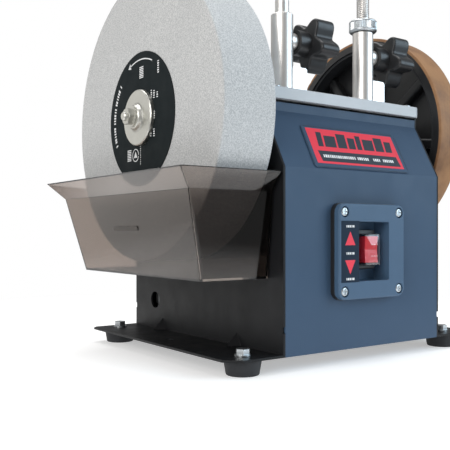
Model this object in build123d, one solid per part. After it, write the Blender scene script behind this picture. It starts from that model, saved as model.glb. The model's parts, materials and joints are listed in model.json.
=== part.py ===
from build123d import *
import math
import os

# Wet grinding sharpener. Millimetres. +Z up, X along the main shaft (stone at -X, honing wheel
# at +X), Y from front to back. The origin is on the floor under the middle of the shaft's span.

# ---- driving dimensions -------------------------------------------------------------------
sheet = 2.0                 # folded steel of the housing
foot_height = 12.5
flange_z = foot_height      # underside of the side flanges
floor_z = flange_z + sheet  # inside floor of the housing

housing_width = 190.0
housing_front_y = -121.5
housing_back_y = 119.5
trough_reach = 95.5         # trough rim beyond the left wall
hub_reach = 72.0            # honing wheel hand nut beyond the right wall
wall_left = (trough_reach - hub_reach - housing_width) / 2
wall_right = wall_left + housing_width

front_fold_z = floor_z + 148.5   # where the front cover leans back
band_fold_z = floor_z + 197.5    # where it stands upright again
front_lean_deg = 28.0
band_y = housing_front_y + (band_fold_z - front_fold_z) * math.tan(math.radians(front_lean_deg))
plate_z = floor_z + 207.0        # underside of the top plate
plate_thickness = 10.0
plate_top_z = plate_z + plate_thickness
plate_overhang = 4.0
plate_gap = 2.2             # open slot between the front cover and the top plate

shaft_z = 211.0
shaft_r = 6.0
running_gap = 0.05          # radial clearance of a shaft in its bush
body_gap = 0.3              # space between pieces that move past each other

stone_r = 125.0
stone_width = 50.0
stone_gap = 10.0            # stone to left wall
stone_right = wall_left - stone_gap
stone_left = stone_right - stone_width

flange_reach = 51.0
flange_chamfer = 12.0
flange_rear_chamfer = 5.0
dart_places = (-60.0, 64.0)
foot_x = 27.0               # feet out from the walls
foot_y = 104.0
foot_top_r = 15.4
foot_bottom_r = 13.2
foot_bolt_r = 3.0
bolt_play = 0.05            # radial clearance of a bolt in its hole
bench_hole = (30.0, 2.0, 3.5)    # out from the wall, y, radius

bush_r = 8.6
bush_length = 14.0
bush_flange = 2.5

hone_r = 110.0
hone_left = wall_right + 20.0
hone_width = 30.0
hone_right = hone_left + hone_width
leather_thickness = 3.0
hone_rim_r = hone_r - leather_thickness
web_left = hone_right - 5.0
tyre_inner_r = 97.0
tyre_thickness = 3.0
tyre_width = 14.0
roller_r = 6.8
roller_gap = 0.2            # roller to tyre
roller_x = (hone_left + 1.0, hone_left + 16.0)

motor_z = shaft_z - tyre_inner_r + roller_r + roller_gap
motor_r = 54.0
motor_left = wall_left + 42.0
motor_right = wall_left + 150.0
stator_x = (wall_left + 72.0, wall_left + 122.0)
rotor_r = 28.0
motor_bearing_r = 13.0
bracket_x = (motor_right, motor_right + 4)
standoff_places = [(y, motor_z + dz) for y in (-50.0, 50.0) for dz in (-50.0, 50.0)]
tie_places = [(y, motor_z + dz) for y in (-35.5, 35.5) for dz in (-35.5, 35.5)]
tie_r = 2.2

washer_r = 24.4
label_r = 57.5
label_thickness = 0.6
thread_r = 4.0              # stone end of the shaft
shaft_left = stone_left - 18.0
shoulder_x = stone_left - 7.0
shaft_right = hone_right + 14.0

leg_r = 6.0
leg_y = housing_front_y + 45.0
leg_x = (wall_left + 36.5, wall_left + 136.5)
sleeve_r = 9.65
sleeve_top_z = plate_top_z + 68.0
knob_z = plate_top_z + 46.0
knob_reach = 26.0           # leg to the knob's head
knob_depth = 22.0
stud_r = 4.0
rest_bar_z = shaft_z + stone_r + 6.0
nut_z = sleeve_top_z + body_gap

handle_y = housing_back_y - 34.0
handle_places = (wall_left + 26.0, wall_right - 38.0)
grip_z = plate_top_z + 60.0

switch_x = wall_left + 91.3
switch_z = floor_z + 80.5
switch_size = 80.0
switch_screw_pitch = 66.0
bezel_front_y = housing_front_y - 9.5
bezel_split_y = housing_front_y - 4.0
recess_x = (switch_x - 16.6, switch_x + 20.0)
recess_z = (switch_z - 25.0, switch_z + 25.0)
recess_back_y = housing_front_y + 8.0
rocker_x = switch_x + 1.7
rocker_z = switch_z + 1.4
rocker_half = (7.3, 11.4)   # half width, half height
rocker_tip_y = bezel_front_y + 3.2
rocker_pivot_y = housing_front_y + 4.0
rocker_pin_r = 1.5
cover_half = (9.0, 13.5)
switch_frame_y = housing_front_y + 1.0

badge_size = (115.0, 1.0, 41.5)
badge_rise = 21.8           # centre of the badge up the slope from the crease

gland_x = wall_right - 38.0
gland_z = floor_z + 30.0
cord_r = 3.75
rear_screw_places = [(x, z) for x in (wall_left + 12, wall_right - 12) for z in (40.0, 196.0)]
plate_screw_places = [(x, y) for x in (wall_left + 14, wall_right - 14)
                      for y in (leg_y - 18, housing_back_y - 12)]

trough_wall = 1.8
trough_floor_z = floor_z + 59.5
trough_bend_z = floor_z + 129.0
trough_rim_z = floor_z + 144.5
trough_back = wall_left - 1.0
trough_corner_r = 3.0
trough_lift = 2.5           # how far it lifts before the pin heads pass through its back
trough_pin_y = (-52.0, 52.0)
trough_pin_z = trough_rim_z - 12.0
trough_pin_r = 2.2
trough_pin_head_r = 3.4
# outline at the floor, the bend and the rim: height, outer face x, front y, back y
trough_levels = (
    (trough_floor_z, wall_left - 66.0, -104.5, 102.5),
    (trough_bend_z, wall_left - 81.0, -111.3, 118.5),
    (trough_rim_z, wall_left - 95.0, -122.5, 132.0),
)

nodes = {}


def add(name, shape):
    nodes[name] = shape


# ---- plain shapes -------------------------------------------------------------------------
def block(x, y, z):
    """Box between the given (low, high) pairs."""
    size = (x[1] - x[0], y[1] - y[0], z[1] - z[0])
    middle = ((x[0] + x[1]) / 2, (y[0] + y[1]) / 2, (z[0] + z[1]) / 2)
    return Pos(*middle) * Box(*size)


def rod_x(radius, x0, x1, y, z):
    return Pos((x0 + x1) / 2, y, z) * Rot(0, 90, 0) * Cylinder(radius, x1 - x0)


def rod_y(radius, y0, y1, x, z):
    return Pos(x, (y0 + y1) / 2, z) * Rot(90, 0, 0) * Cylinder(radius, y1 - y0)


def rod_z(radius, z0, z1, x, y):
    return Pos(x, y, (z0 + z1) / 2) * Cylinder(radius, z1 - z0)


def turned_x(profile, y, z):
    """Solid of revolution about a line along X; the profile holds (x, radius) points."""
    face = make_face(Polyline(*profile, close=True))
    return Pos(0, y, z) * revolve(face, Axis.X)


def turned_z(profile, x, y):
    """Solid of revolution about a line along Z; the profile holds (radius, z) points."""
    face = Plane.XZ * make_face(Polyline(*profile, close=True))
    return Pos(x, y, 0) * revolve(face, Axis.Z)


def side_prism(points, x0, x1):
    """Prism along X over an outline of (y, z) points."""
    face = Plane.YZ * make_face(Polyline(*points, close=True))
    return Pos(x0, 0, 0) * extrude(face, x1 - x0, dir=(1, 0, 0))


def hexagon_x(across, x0, x1, y, z):
    face = Plane.YZ * RegularPolygon(across / math.sqrt(3), 6)
    return Pos(x0, y, z) * extrude(face, x1 - x0, dir=(1, 0, 0))


def hexagon_z(across, z0, z1, x, y):
    face = RegularPolygon(across / math.sqrt(3), 6)
    return Pos(x, y, z0) * extrude(face, z1 - z0)


def round_edges(shape, axis, radius):
    """Round the edges that run along an axis."""
    return fillet(shape.edges().filter_by(axis), radius)


def four(x_values, y_values):
    return [(x, y) for x in x_values for y in y_values]


def group(shapes):
    return Compound(children=list(shapes))


def front_outline(inset):
    """Front edge of the housing as (y, z) points, moved back by inset."""
    return [
        (housing_front_y + inset, floor_z),
        (housing_front_y + inset, front_fold_z),
        (band_y + inset, band_fold_z),
        (band_y + inset, plate_z),
    ]


# ---- housing ------------------------------------------------------------------------------
def dart(x, y, sign):
    """Pressed stiffener across the bend: a pointed pyramid with its back in the corner."""
    root, reach, half = x - sign, 12.0, 7.0
    top = (root, y, floor_z + reach)
    toe = (x + sign * reach, y, floor_z - 1)
    left = (root, y - half, floor_z - 1)
    right = (root, y + half, floor_z - 1)
    sides = [(top, toe, left), (top, right, toe), (top, left, right), (toe, right, left)]
    return Solid(Shell([Face(Wire.make_polygon(corners)) for corners in sides]))


def side_plate(sign):
    """Side wall folded out into a flange at its foot. sign is -1 on the left, 1 on the right."""
    wall = wall_left if sign < 0 else wall_right
    inner = wall - sign * sheet
    low, high = sorted((wall, inner))
    outline = [(housing_front_y, flange_z)] + front_outline(0)[1:]
    outline += [(housing_back_y, plate_z), (housing_back_y, flange_z)]
    plate = side_prism(outline, low, high)
    outer = wall + sign * flange_reach
    flange = block(sorted((inner, outer)), (housing_front_y, housing_back_y), (flange_z, floor_z))
    corners = [e for e in flange.edges().filter_by(Axis.Z) if abs(e.center().X - outer) < 1]
    front_corner, rear_corner = sorted(corners, key=lambda e: e.center().Y)
    flange = chamfer(front_corner, flange_chamfer)
    rear_corner = [e for e in flange.edges().filter_by(Axis.Z)
                   if abs(e.center().X - outer) < 1 and e.center().Y > 0]
    plate += chamfer(rear_corner, flange_rear_chamfer)
    for y in dart_places:
        plate += dart(wall, y, sign)
    for y in (-foot_y, foot_y):
        plate -= rod_z(foot_bolt_r + 0.3, 0, 30, wall + sign * foot_x, y)
    out, y, radius = bench_hole
    plate -= rod_z(radius, 0, 30, wall + sign * out, y)
    plate -= rod_x(bush_r, low - 1, high + 1, 0, shaft_z)
    for y in (housing_front_y, housing_back_y):
        plate -= block((low - 1, high + 1), (y - 1.5, y + 1.5), (floor_z + 17, floor_z + 22))
    return plate


def left_side_plate():
    plate = side_plate(-1)
    plate -= rod_x(8.25, wall_left - 5, wall_left + 5, 79.5, floor_z + 28)
    for y in trough_pin_y:
        plate -= rod_x(trough_pin_r + bolt_play, wall_left - 5, wall_left + 5, y, trough_pin_z)
    add("left_side_plate", plate)


def right_side_plate():
    plate = side_plate(1)
    plate -= rod_x(13.0, wall_right - 5, wall_right + 5, 0, motor_z)
    for y, z in standoff_places:
        plate -= rod_x(2.55, wall_right - 5, wall_right + 5, y, z)
    add("right_side_plate", plate)


def front_cover():
    """Folded front: upright, leaning back, then upright under the plate."""
    outline = front_outline(0) + front_outline(sheet)[::-1]
    x = (wall_left + sheet, wall_right - sheet)
    cover = side_prism(outline, *x)
    cover -= block(x, (band_y - 1, band_y + sheet + 1), (plate_z - plate_gap, plate_z))
    lip = (housing_front_y, housing_front_y + 16)
    cover += block(x, lip, (flange_z, floor_z))
    window = (switch_x - 19.8, switch_x + 23.4)
    cover -= block(window, (housing_front_y - 5, housing_front_y + 5), (switch_z - 27, switch_z + 27))
    for x, z in switch_screw_places():
        cover -= rod_y(2.05, housing_front_y - 5, housing_front_y + 5, x, z)
    add("front_cover", cover)


def rear_cover():
    """Flat back with a column of cooling slots and the hole of the cord gland."""
    x = (wall_left + sheet, wall_right - sheet)
    cover = block(x, (housing_back_y - sheet, housing_back_y), (flange_z, plate_z))
    cover += block(x, (housing_back_y - 16, housing_back_y), (flange_z, floor_z))
    for row in range(8):
        z = floor_z + 95 + 9 * row
        slot = block((-22, 42), (housing_back_y - 5, housing_back_y + 5), (z - 2, z + 2))
        cover -= round_edges(slot, Axis.Y, 1.9)
    cover -= rod_y(8.0, housing_back_y - 5, housing_back_y + 5, gland_x, gland_z)
    for x, z in rear_screw_places:
        cover -= rod_y(2.05, housing_back_y - 5, housing_back_y + 5, x, z)
    add("rear_cover", cover)


def rear_screws():
    screws = []
    for x, z in rear_screw_places:
        head = rod_y(4.0, housing_back_y, housing_back_y + 2.4, x, z)
        head = fillet(head.edges().sort_by(Axis.Y)[-1], 1.6)
        head -= block((x - 2.6, x + 2.6), (housing_back_y + 1.2, housing_back_y + 3), (z - 0.45, z + 0.45))
        head -= block((x - 0.45, x + 0.45), (housing_back_y + 1.2, housing_back_y + 3), (z - 2.6, z + 2.6))
        screws.append(head + rod_y(2.0, housing_back_y - 9, housing_back_y + 0.5, x, z))
    return screws


def floor_pan():
    x = (wall_left + sheet, wall_right - sheet)
    pan = block(x, (housing_front_y + 16, housing_back_y - 16), (flange_z, floor_z))
    for y in (-60.0, -30.0, 0.0, 30.0, 60.0):
        slot = block((-40, 60), (y - 2.5, y + 2.5), (flange_z - 1, floor_z + 1))
        pan -= round_edges(slot, Axis.Z, 2.4)
    add("floor_pan", pan)


def top_plate():
    """Shallow aluminium tray, upside down, with a raised pad under each sleeve."""
    x = (wall_left - 1, wall_right + 1)
    y = (band_y - plate_overhang, housing_back_y + 2)
    plate = block(x, y, (plate_z, plate_top_z))
    plate = fillet(plate.edges().filter_by(Axis.Z), 6)
    plate = fillet(plate.faces().sort_by(Axis.Z)[-1].edges(), 1.2)
    rim = 8.0
    plate -= block((x[0] + rim, x[1] - rim), (y[0] + rim, y[1] - rim), (plate_z - 1, plate_z + 4))
    for leg in leg_x:
        plate += rod_z(15, plate_z, plate_z + 5, leg, leg_y)
        plate -= rod_z(leg_r + 1, plate_z - 1, plate_top_z + 1, leg, leg_y)
    for x, y in plate_screw_places:
        plate -= rod_z(4.65, plate_top_z - 1.4, plate_top_z + 1, x, y)
    add("top_plate", plate)


def plate_screws():
    """Flat socket screws near the corners of the top plate."""
    screws = []
    for x, y in plate_screw_places:
        head = rod_z(4.6, plate_top_z - 1.4, plate_top_z + 0.8, x, y)
        head = fillet(head.edges().sort_by(Axis.Z)[-1], 0.6)
        socket = hexagon_z(3.2, plate_top_z - 0.9, plate_top_z + 2, x, y)
        screws.append(head - socket)
    return screws


def sleeve(x):
    """Guide sleeve of the tool rest, with a flat lug on its right and a threaded lock hole."""
    body = rod_z(sleeve_r, plate_top_z, sleeve_top_z, x, leg_y)
    body = chamfer(body.edges().sort_by(Axis.Z)[-1], 0.8)
    lug = block((x, x + 25.5), (leg_y - 4, leg_y + 4), (plate_top_z, plate_top_z + 24))
    corner = [e for e in lug.edges().filter_by(Axis.Y) if e.center().X > x + 20]
    lug = fillet(sorted(corner, key=lambda e: e.center().Z)[-1], 2.5)
    boss = rod_x(7.5, x, x + 12.5, leg_y, knob_z)
    body += lug + boss
    body -= rod_z(leg_r + running_gap, plate_top_z - 1, sleeve_top_z + 1, x, leg_y)
    return body - rod_x(stud_r + running_gap, x + 3, x + 30, leg_y, knob_z)


def feet():
    shapes, bolts, washers = [], [], []
    for x, y in four((wall_left - foot_x, wall_right + foot_x), (-foot_y, foot_y)):
        hole_r = foot_bolt_r + bolt_play
        profile = [(hole_r, 0), (foot_bottom_r, 0), (foot_top_r, foot_height), (hole_r, foot_height)]
        foot = turned_z(profile, x, y)
        foot = fillet(foot.edges().group_by(Axis.Z)[0].sort_by(SortBy.RADIUS)[-1], 1.2)
        foot -= rod_z(7, -1, 4, x, y)
        shapes.append(foot)
        top = floor_z + 1.4
        washers.append(rod_z(6.6, floor_z, top, x, y) - rod_z(hole_r, floor_z - 1, top + 1, x, y))
        bolt = hexagon_z(10, top, top + 4.2, x, y)
        bolts.append(bolt + rod_z(foot_bolt_r, 5, top + 1, x, y))
    add("rubber_feet", group(shapes))
    add("foot_washers", group(washers))
    add("foot_bolts", group(bolts))


# ---- carrying handle ----------------------------------------------------------------------
def handle():
    """Two upright arms on the top plate and a ribbed grip between them."""
    arms, screws = [], []
    for x in handle_places:
        arm = block((x - 7, x + 7), (handle_y - 18, handle_y + 18), (plate_top_z, plate_top_z + 6))
        arm = fillet(arm.edges().filter_by(Axis.Z), 5)
        points = [(handle_y - 9, plate_top_z + 3), (handle_y + 9, plate_top_z + 3),
                  (handle_y + 10, grip_z), (handle_y - 10, grip_z)]
        arm += side_prism(points, x - 5, x + 5)
        arm += rod_x(14, x - 5, x + 5, handle_y, grip_z)
        for dy in (-13.5, 13.5):
            y = handle_y + dy
            arm -= rod_z(2.55, plate_top_z - 1, plate_top_z + 9, x, y)
            head = rod_z(3.6, plate_top_z + 6, plate_top_z + 9.5, x, y)
            head -= hexagon_z(3.4, plate_top_z + 7.5, plate_top_z + 11, x, y)
            screws.append(head + rod_z(2.5, plate_top_z, plate_top_z + 7, x, y))
        arms.append(arm)
    add("handle_arms", group(arms))
    add("handle_screws", group(screws))
    start, end = handle_places[0] + 5, handle_places[1] - 5
    grip = rod_x(13, start, end, handle_y, grip_z)
    grip = fillet(grip.edges().filter_by(GeomType.CIRCLE), 3)
    for turn in range(12):
        angle = math.radians(30 * turn)
        y = handle_y + 13.8 * math.cos(angle)
        z = grip_z + 13.8 * math.sin(angle)
        grip -= rod_x(1.6, start + 9, end - 9, y, z)
    add("handle_grip", grip)


# ---- main shaft and stone -----------------------------------------------------------------
def shaft():
    """Shaft with a thinner threaded end at the stone."""
    body = rod_x(shaft_r, shoulder_x, shaft_right, 0, shaft_z)
    body += rod_x(thread_r, shaft_left, shoulder_x + 1, 0, shaft_z)
    ends = body.edges().filter_by(GeomType.CIRCLE).sort_by(Axis.X)
    add("main_shaft", chamfer([ends[0], ends[-1]], 1.0))


def shaft_bushes():
    """Flanged bronze bushes, their flanges outside the walls."""
    bushes = []
    for sign, wall in ((-1, wall_left), (1, wall_right)):
        inner = wall - sign * bush_length
        outer = wall + sign * bush_flange
        sleeve_part = rod_x(bush_r, *sorted((inner, outer)), 0, shaft_z)
        collar = rod_x(9.6, *sorted((wall, outer)), 0, shaft_z)
        bush = sleeve_part + collar
        bush -= rod_x(shaft_r + running_gap, *sorted((inner - sign, outer + sign)), 0, shaft_z)
        bushes.append(bush)
    add("shaft_bushes", group(bushes))


def shaft_collars():
    """Set collars that hold the shaft between its bushes, just inside them."""
    collars = []
    for start in (wall_left + bush_length + body_gap, wall_right - bush_length - body_gap - 8):
        ring = rod_x(8.8, start, start + 8, 0, shaft_z) - rod_x(shaft_r, start - 1, start + 9, 0, shaft_z)
        ring -= rod_z(1.6, shaft_z, shaft_z + 20, start + 4, 0)
        collars.append(ring)
    add("shaft_collars", group(collars))


def stone():
    wheel = rod_x(stone_r, stone_left, stone_right, 0, shaft_z)
    wheel = chamfer(wheel.edges().filter_by(GeomType.CIRCLE), 1.5)
    add("grinding_stone", wheel - rod_x(shaft_r, stone_left - 1, stone_right + 1, 0, shaft_z))


def stone_clamp():
    """Label, outer cone washer and nut on the outside; flat clamping washer on the inside."""
    face = stone_left
    label = rod_x(label_r, face - label_thickness, face, 0, shaft_z)
    add("stone_label", label - rod_x(washer_r + 0.2, face - 1, face + 1, 0, shaft_z))
    boss = face - 8.4
    profile = [(face, shaft_r), (face, washer_r), (face - 3.4, washer_r), (face - 4.2, washer_r - 0.8),
               (face - 4.6, 13.0), (face - 5.4, 11.6), (boss + 0.8, 10.4), (boss, 9.6),
               (boss, thread_r), (shoulder_x, thread_r), (shoulder_x, shaft_r)]
    add("stone_washer_outer", turned_x(profile, 0, shaft_z))
    nut_end = boss - 6.6
    nut = hexagon_x(13, nut_end, boss, 0, shaft_z) + rod_x(8.6, boss - 1.4, boss, 0, shaft_z)
    nut &= turned_x([(nut_end, 0), (nut_end, 6.5), (nut_end + 1, 8.2), (boss - 1.4, 8.6),
                     (boss, 8.6), (boss, 0)], 0, shaft_z)
    add("stone_nut", nut - rod_x(thread_r, nut_end - 1, boss + 1, 0, shaft_z))
    start = stone_right
    end = wall_left - bush_flange - body_gap
    profile = [(start, shaft_r), (start, washer_r), (start + 3, washer_r), (start + 4, washer_r - 6),
               (start + 4, 11), (end, 11), (end, shaft_r)]
    add("stone_washer_inner", turned_x(profile, 0, shaft_z))


# ---- honing wheel -------------------------------------------------------------------------
def honing_wheel():
    """Dished moulded wheel: rim, web at its outer side, hub and eight thick ribs in the dish."""
    hub_left = wall_right + bush_flange + body_gap
    rim = rod_x(hone_rim_r, hone_left, hone_right, 0, shaft_z)
    rim -= rod_x(tyre_inner_r + tyre_thickness, hone_left - 1, web_left, 0, shaft_z)
    hub = rod_x(17, hub_left + 6, hone_right + 2, 0, shaft_z) + rod_x(10, hub_left, hub_left + 8, 0, shaft_z)
    wheel = rim + hub
    for turn in range(8):
        rib = block((web_left - 9, web_left + 1), (-5.5, 5.5), (14, tyre_inner_r + 4))
        rib = fillet([e for e in rib.edges().filter_by(Axis.Z) if e.center().X < web_left - 5], 3)
        wheel += Pos(0, 0, shaft_z) * Rot(45 * turn - 38, 0, 0) * rib
    wheel -= rod_x(shaft_r, hub_left - 1, hone_right + 3, 0, shaft_z)
    add("honing_wheel", wheel)
    leather = rod_x(hone_r, hone_left, hone_right, 0, shaft_z)
    leather = fillet(leather.edges().filter_by(GeomType.CIRCLE), 1.2)
    add("honing_leather", leather - rod_x(hone_rim_r, hone_left - 1, hone_right + 1, 0, shaft_z))
    tyre_x = (hone_left + 2, hone_left + 2 + tyre_width)
    tyre = rod_x(tyre_inner_r + tyre_thickness, *tyre_x, 0, shaft_z)
    tyre -= rod_x(tyre_inner_r, tyre_x[0] - 1, tyre_x[1] + 1, 0, shaft_z)
    add("drive_tyre", tyre)


def honing_nut():
    """Big moulded hand nut on the right end of the shaft, with its steel washer."""
    start = hone_right + 2
    washer = rod_x(15, start, start + 2, 0, shaft_z)
    add("honing_washer", washer - rod_x(shaft_r, start - 1, start + 3, 0, shaft_z))
    end = wall_right + hub_reach
    nut = rod_x(21, start + 2, end, 0, shaft_z)
    for turn in range(6):
        angle = math.radians(60 * turn + 30)
        nut -= rod_x(7, start, end + 1, 25.5 * math.sin(angle), shaft_z + 25.5 * math.cos(angle))
    nut = fillet(nut.faces().sort_by(Axis.X)[-1].edges(), 2.5)
    add("honing_hand_nut", nut - rod_x(shaft_r, start - 1, shaft_right, 0, shaft_z))


# ---- motor --------------------------------------------------------------------------------

def stator():
    core = rod_x(motor_r, *stator_x, 0, motor_z)
    core -= rod_x(rotor_r + 0.6, stator_x[0] - 1, stator_x[1] + 1, 0, motor_z)
    for y, z in tie_places:
        core -= rod_x(tie_r, stator_x[0] - 1, stator_x[1] + 1, y, z)
    add("stator_core", core)
    coils = []
    for x in ((stator_x[0] - 16, stator_x[0]), (stator_x[1], stator_x[1] + 16)):
        coil = rod_x(45.5, *x, 0, motor_z) - rod_x(31.5, x[0] - 1, x[1] + 1, 0, motor_z)
        coils.append(fillet(coil.edges().filter_by(GeomType.CIRCLE), 3))
    add("stator_windings", group(coils))


def end_bell(side):
    """Cup-shaped motor cover with vent windows round it; returns the bearing in its floor."""
    if side == "left":
        mouth, back, inward = stator_x[0], motor_left, 1
    else:
        mouth, back, inward = stator_x[1], motor_right, -1
    cup = rod_x(motor_r, *sorted((mouth, back)), 0, motor_z)
    cup -= rod_x(motor_r - 4, *sorted((mouth + inward, back + 4 * inward)), 0, motor_z)
    cup += rod_x(motor_bearing_r + 4, *sorted((back, back + 11 * inward)), 0, motor_z)
    for turn in range(8):
        angle = 45 * turn + 22.5
        vent = block(sorted((back + 8 * inward, mouth - 6 * inward)), (-7, 7), (motor_r - 8, motor_r + 4))
        cup -= Pos(0, 0, motor_z) * Rot(angle, 0, 0) * vent
    for y, z in tie_places:
        cup += rod_x(4.5, *sorted((mouth, back)), y, z)
        cup -= rod_x(tie_r, *sorted((mouth + inward, back - inward)), y, z)
    cup -= rod_x(motor_bearing_r, *sorted((back + 3 * inward, back + 12 * inward)), 0, motor_z)
    cup -= rod_x(8, *sorted((back - inward, back + 4 * inward)), 0, motor_z)
    add(f"motor_end_bell_{side}", cup)
    ring = rod_x(motor_bearing_r, *sorted((back + 3 * inward, back + 11 * inward)), 0, motor_z)
    return ring - rod_x(shaft_r + running_gap, *sorted((back, back + 13 * inward)), 0, motor_z)


def motor_fixings():
    ties = []
    for y, z in tie_places:
        start = motor_left - 3
        head = rod_x(4, start, start + 3, y, z)
        ties.append(head + rod_x(tie_r, start + 1, bracket_x[1], y, z))
    add("motor_tie_bolts", group(ties))
    bracket = block(bracket_x, (-58, 58), (motor_z - 58, motor_z + 58))
    bracket = round_edges(bracket, Axis.X, 8)
    bracket -= rod_x(14, bracket_x[0] - 1, bracket_x[1] + 1, 0, motor_z)
    for y, z in standoff_places:
        bracket -= rod_x(2.5, bracket_x[0] - 1, bracket_x[1] + 1, y, z)
    for y, z in tie_places:
        bracket -= rod_x(tie_r, bracket_x[0] - 1, bracket_x[1] + 1, y, z)
    add("motor_bracket", bracket)
    posts, bolts = [], []
    inner = wall_right - sheet
    for y, z in standoff_places:
        post = rod_x(6, bracket_x[1], inner, y, z) - rod_x(2.5, bracket_x[1] - 1, inner + 1, y, z)
        posts.append(post)
        bolt = rod_x(5, wall_right, wall_right + 3, y, z)
        bolt = fillet(bolt.edges().sort_by(Axis.X)[-1], 1.6)
        bolt -= hexagon_x(3.5, wall_right + 1.4, wall_right + 4, y, z)
        bolts.append(bolt + rod_x(2.5, bracket_x[0] + 1, wall_right + 1, y, z))
    add("bracket_standoffs", group(posts))
    add("bracket_bolts", group(bolts))


def rotor():
    core = rod_x(rotor_r, stator_x[0] + 1, stator_x[1] - 1, 0, motor_z)
    core = chamfer(core.edges().filter_by(GeomType.CIRCLE), 1)
    add("rotor_core", core - rod_x(shaft_r, stator_x[0], stator_x[1], 0, motor_z))
    add("rotor_shaft", rod_x(shaft_r, motor_left - 20, roller_x[1], 0, motor_z))
    roller = rod_x(roller_r, *roller_x, 0, motor_z)
    roller = chamfer(roller.edges().filter_by(GeomType.CIRCLE), 0.4)
    add("drive_roller", roller - rod_x(shaft_r, roller_x[0] - 1, roller_x[1] + 1, 0, motor_z))
    fan_x = (motor_left - 18, motor_left - 6)
    fan = rod_x(11, *fan_x, 0, motor_z) + rod_x(42, fan_x[1] - 2, fan_x[1], 0, motor_z)
    for turn in range(9):
        blade = block((fan_x[0], fan_x[1]), (-1, 1), (9, 41))
        fan += Pos(0, 0, motor_z) * Rot(40 * turn, 0, 0) * blade
    add("motor_fan", fan - rod_x(shaft_r, fan_x[0] - 1, fan_x[1] + 1, 0, motor_z))


def capacitor():
    """Run capacitor standing on the floor pan in a clip, beside the motor."""
    x, y = wall_left + 24.0, 82.0
    can = rod_z(17, floor_z + 2, floor_z + 72, x, y)
    can = fillet(can.edges().filter_by(GeomType.CIRCLE), 2)
    for dx in (-6, 6):
        can += block((x + dx - 0.4, x + dx + 0.4), (y - 3, y + 3), (floor_z + 70, floor_z + 80))
    add("run_capacitor", can)
    clip = rod_z(18.5, floor_z + 24, floor_z + 36, x, y) - rod_z(17, floor_z, floor_z + 90, x, y)
    clip += block((x - 16, x + 16), (y - 22, y + 22), (floor_z, floor_z + 2))
    clip += block((x - 6, x + 6), (y + 17.5, y + 19.5), (floor_z, floor_z + 36))
    add("capacitor_clip", clip)


def cord_gland():
    """Snap-in strain-relief bush in the back; its bore is open."""
    y = housing_back_y
    body = rod_y(12, y, y + 6, gland_x, gland_z) + rod_y(9.5, y + 4, y + 12, gland_x, gland_z)
    body = fillet(body.edges().sort_by(Axis.Y)[-1], 1.5)
    body += rod_y(8.0, y - 10, y + 1, gland_x, gland_z)
    add("cord_gland", body - rod_y(cord_r, y - 12, y + 14, gland_x, gland_z))


# ---- switch -------------------------------------------------------------------------------
def switch_screw_places():
    offsets = (-switch_screw_pitch / 2, switch_screw_pitch / 2)
    return [(switch_x + dx, switch_z + dz) for dx in offsets for dz in offsets]


def square_slab(half, y0, y1, corner):
    slab = block((switch_x - half, switch_x + half), (y0, y1), (switch_z - half, switch_z + half))
    return round_edges(slab, Axis.Y, corner)


def switch_bezels():
    half = switch_size / 2
    gasket = square_slab(half + 0.5, bezel_split_y, housing_front_y, 8.5)
    window = block(recess_x, (bezel_front_y - 1, recess_back_y + 9), recess_z)
    window = round_edges(window, Axis.Y, 1.6)
    tub = block((recess_x[0] - 1.8, recess_x[1] + 1.8), (bezel_split_y, recess_back_y + 2),
                (recess_z[0] - 1.8, recess_z[1] + 1.8))
    gasket -= tub
    bezel = square_slab(half, bezel_front_y, bezel_split_y, 8)
    bezel = fillet(bezel.faces().sort_by(Axis.Y)[0].edges(), 1.6)
    bezel += tub
    floor = block(recess_x, (recess_back_y, recess_back_y + 2), recess_z)
    bezel -= window
    floor -= block((rocker_x - 11, rocker_x + 11), (recess_back_y - 1, recess_back_y + 3),
                   (rocker_z - 15.5, rocker_z + 15.5))
    bezel += floor
    for x, z in switch_screw_places():
        bezel -= rod_y(4.6, bezel_front_y - 1, bezel_front_y + 2.6, x, z)
        bezel -= rod_y(2.05, bezel_front_y - 1, bezel_split_y + 1, x, z)
        gasket -= rod_y(2.05, bezel_split_y - 1, housing_front_y + 1, x, z)
    bezel -= block((switch_x - 37.6, recess_x[0] + 1), (bezel_front_y - 1, bezel_front_y + 0.5),
                   (switch_z - 25.5, switch_z + 25.5))
    bezel -= window
    bezel += floor
    add("switch_gasket", gasket)
    add("switch_bezel", bezel)


def switch_label():
    strip = block((switch_x - 37.4, recess_x[0] - 0.2), (bezel_front_y + 0.1, bezel_front_y + 0.5),
                  (switch_z - 25.3, switch_z + 25.3))
    add("switch_label", strip)


def switch_screws():
    screws = []
    seat = bezel_front_y + 2.6
    for x, z in switch_screw_places():
        head = rod_y(3.9, seat - 2.4, seat, x, z)
        head = fillet(head.edges().sort_by(Axis.Y)[0], 1.5)
        head -= block((x - 2.5, x + 2.5), (seat - 3, seat - 1.2), (z - 0.45, z + 0.45))
        head -= block((x - 0.45, x + 0.45), (seat - 3, seat - 1.2), (z - 2.5, z + 2.5))
        screws.append(head + rod_y(2.0, seat - 1, housing_front_y + 8, x, z))
    add("switch_screws", group(screws))


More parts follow.
